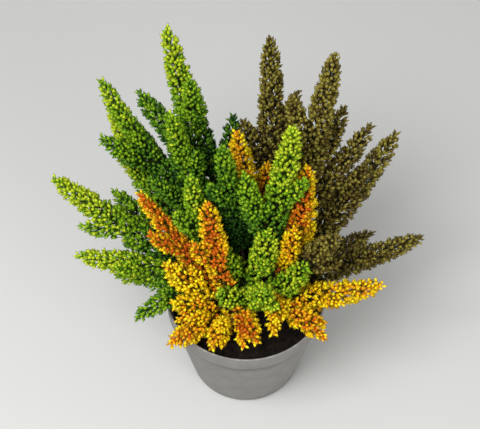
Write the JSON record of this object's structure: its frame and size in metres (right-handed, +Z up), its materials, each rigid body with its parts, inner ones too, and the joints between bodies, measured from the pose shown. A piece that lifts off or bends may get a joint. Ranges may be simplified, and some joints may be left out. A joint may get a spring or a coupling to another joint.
{
  "type": "potted heather",
  "caption": "Bushy foliage heather with upright green, golden and bronze scaly shoots from several short woody stems, in a round tapered nursery pot filled with peat.",
  "frame": {"origin": "centre of the pot's flat underside, on the surface it stands on", "axes": "+Z up along the pot's axis; the plant's front, which the picture shows, faces -Y; +X to the viewer's right"},
  "size_m": [0.2673, 0.1829, 0.2743],
  "materials": {
    "pot_plastic": "satin",
    "peat": "rough, moist",
    "bark": "rough",
    "green_foliage": "matte",
    "gold_foliage": "matte",
    "bronze_foliage": "matte"
  },
  "bodies": {
    "root": {"amber": "gold_foliage", "back_left": "green_foliage", "back_left_bough": "bark", "big_left": "green_foliage", "big_left_bough": "bark", "brown_back": "bronze_foliage", "brown_back_bough": "bark", "brown_low": "bronze_foliage", "brown_near": "bronze_foliage", "brown_side": "bronze_foliage", "brown_side_bough": "bark", "brown_tall": "bronze_foliage", "brown_tall_bough": "bark", "flame": "gold_foliage", "gold_rear": "gold_foliage", "gold_rear_up": "gold_foliage", "gold_rear_up_bough": "bark", "green_rear": "green_foliage", "hanging": "green_foliage", "inner": "green_foliage", "inner_bough": "bark", "inner_left": "green_foliage", "inner_left_bough": "bark", "left": "green_foliage", "left_bough": "bark", "low_left": "green_foliage", "orange_up": "gold_foliage", "peat": "peat", "pot": "pot_plastic", "reach": "gold_foliage", "rim_front": "gold_foliage", "rim_inner": "gold_foliage", "rim_left": "gold_foliage", "rim_middle": "gold_foliage", "rim_right": "gold_foliage", "stem_bronze_right": "bark", "stem_gold_back": "bark", "stem_gold_front": "bark", "stem_gold_right": "bark", "stem_green_back": "bark", "stem_green_front": "bark", "stem_green_left": "bark", "tall": "green_foliage", "tall_bough": "bark", "tuft": "green_foliage", "tuft_front": "green_foliage", "tuft_left": "green_foliage", "tuft_near": "green_foliage", "tuft_right": "green_foliage", "upright": "green_foliage", "upright_bough": "bark", "upright_left": "green_foliage", "yellow": "gold_foliage", "yellow_low": "gold_foliage"}
  },
  "joints": []
}
